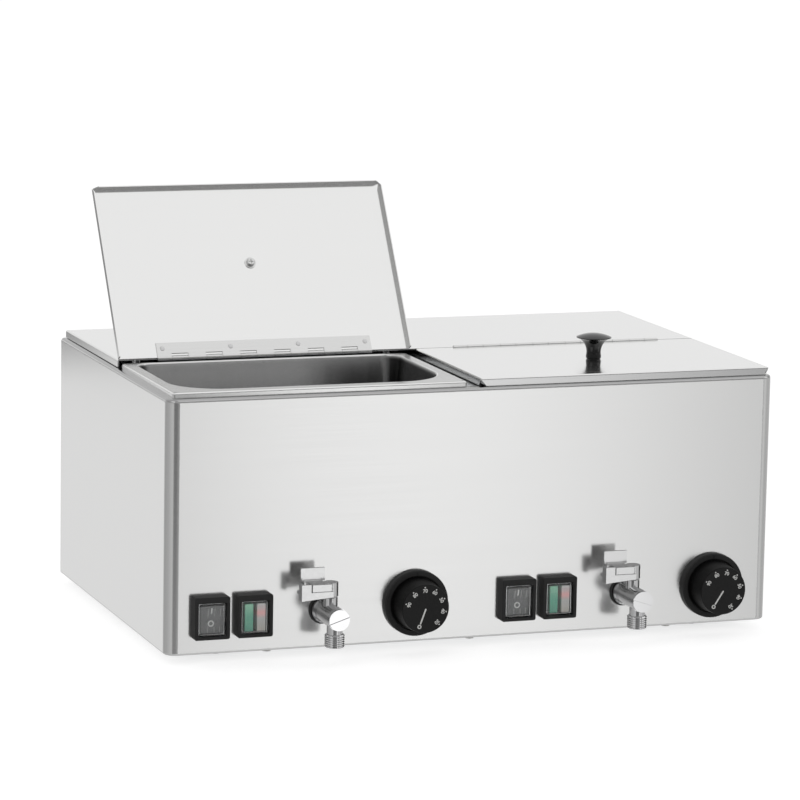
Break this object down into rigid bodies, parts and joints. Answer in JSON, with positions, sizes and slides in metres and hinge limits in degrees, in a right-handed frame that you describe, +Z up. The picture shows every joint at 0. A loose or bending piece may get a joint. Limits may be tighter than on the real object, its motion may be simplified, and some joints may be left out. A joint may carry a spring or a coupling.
{
  "type": "sausage warmer",
  "caption": "Free-standing stainless sausage warmer with deep basins under hinged lids, and a drain tap, thermostat dial, rocker switch and indicator lamps below each basin.",
  "frame": {"origin": "on the ground under the middle of the whole object, from the tap plugs in front to the cable gland at the back", "axes": "+X to the right seen from the front, +Y to the back, +Z up; the controls face -Y"},
  "size_m": [0.54, 0.3976, 0.3682],
  "materials": {
    "brushed_steel": "stainless sheet with a fine ground grain",
    "polished_steel": "bright cold-rolled stainless sheet",
    "bright_steel": "drawn stainless steel",
    "zinc_sheet": "zinc-coated sheet, dull",
    "zinc_fasteners": "zinc-plated steel",
    "chrome": "polished chrome plate",
    "heater_aluminium": "pressed aluminium plate",
    "rubber": "matt black rubber",
    "black_nylon": "black moulded plastic, satin",
    "black_gloss": "black moulded plastic, glossy",
    "clear_plastic": "clear flexible plastic",
    "green_lens": "translucent green plastic",
    "red_lens": "translucent red plastic",
    "white_plastic": "white heat-resistant plastic"
  },
  "bodies": {
    "housing": {"casing": "brushed_steel", "base_plate": "zinc_sheet", "feet": "rubber", "base_screws": "zinc_fasteners", "cross_rail": "zinc_sheet", "centre_rail": "zinc_sheet", "rear_deck": "brushed_steel", "deck_nuts": "zinc_fasteners", "heater_nuts": "zinc_fasteners", "hinge_pins": "bright_steel", "thermostat_screws": "zinc_fasteners", "tap_nuts": "zinc_fasteners", "tap_plugs": "chrome", "cable_gland": "black_nylon", "gland_nut": "black_nylon", "terminal_block": "white_plastic", "basin_left": "polished_steel", "basin_right": "polished_steel", "heater_left": "heater_aluminium", "heater_right": "heater_aluminium", "drain_pipe_left": "bright_steel", "drain_pipe_right": "bright_steel", "deck_leaf_left": "bright_steel", "deck_leaf_right": "bright_steel", "switch_housing_left": "black_nylon", "switch_housing_right": "black_nylon", "switch_cap_left": "clear_plastic", "switch_cap_right": "clear_plastic", "lamp_housing_left": "black_nylon", "lamp_housing_right": "black_nylon", "lamp_cap_left": "clear_plastic", "lamp_cap_right": "clear_plastic", "green_lens_left": "green_lens", "green_lens_right": "green_lens", "red_lens_left": "red_lens", "red_lens_right": "red_lens", "thermostat_left": "zinc_sheet", "thermostat_right": "zinc_sheet", "dial_ring_left": "black_nylon", "dial_ring_right": "black_nylon", "tap_body_left": "chrome", "tap_body_right": "chrome"},
    "left_lid": {"lid_left": "polished_steel", "lid_leaf_left": "bright_steel", "lid_knob_left": "black_gloss", "lid_knob_screw_left": "bright_steel"},
    "left_lever": {"tap_lever_left": "chrome", "tap_stem_left": "bright_steel"},
    "left_dial": {"dial_left": "black_gloss", "dial_shaft_left": "bright_steel"},
    "left_rocker": {"rocker_left": "black_gloss"},
    "right_lid": {"lid_right": "polished_steel", "lid_leaf_right": "bright_steel", "lid_knob_right": "black_gloss", "lid_knob_screw_right": "bright_steel"},
    "right_lever": {"tap_lever_right": "chrome", "tap_stem_right": "bright_steel"},
    "right_dial": {"dial_right": "black_gloss", "dial_shaft_right": "bright_steel"},
    "right_rocker": {"rocker_right": "black_gloss"}
  },
  "joints": [
    {"name": "left_lid_hinge", "type": "hinge", "parent": "housing", "child": "left_lid", "pos_m": [-0.13455, 0.01125, 0.22919], "axis": [-1, 0, 0], "range_deg": [-123, 0]},
    {"name": "left_tap_turn", "type": "hinge", "parent": "housing", "child": "left_lever", "pos_m": [-0.135, -0.17425, 0.041], "axis": [0, 0, 1], "range_deg": [0, 90]},
    {"name": "left_dial_turn", "type": "hinge", "parent": "housing", "child": "left_dial", "pos_m": [-0.05346, -0.16425, 0.0423], "axis": [0, -1, 0], "range_deg": [-75, 200]},
    {"name": "left_rocker_tilt", "type": "hinge", "parent": "housing", "child": "left_rocker", "pos_m": [-0.23301, -0.15475, 0.03925], "axis": [-1, 0, 0], "range_deg": [0, 16]},
    {"name": "right_lid_hinge", "type": "hinge", "parent": "housing", "child": "right_lid", "pos_m": [0.13455, 0.01125, 0.22919], "axis": [-1, 0, 0], "range_deg": [0, 123]},
    {"name": "right_tap_turn", "type": "hinge", "parent": "housing", "child": "right_lever", "pos_m": [0.135, -0.17425, 0.041], "axis": [0, 0, 1], "range_deg": [0, 90]},
    {"name": "right_dial_turn", "type": "hinge", "parent": "housing", "child": "right_dial", "pos_m": [0.21654, -0.16425, 0.0423], "axis": [0, -1, 0], "range_deg": [-62, 213]},
    {"name": "right_rocker_tilt", "type": "hinge", "parent": "housing", "child": "right_rocker", "pos_m": [0.03699, -0.15475, 0.03925], "axis": [-1, 0, 0], "range_deg": [0, 16]}
  ]
}
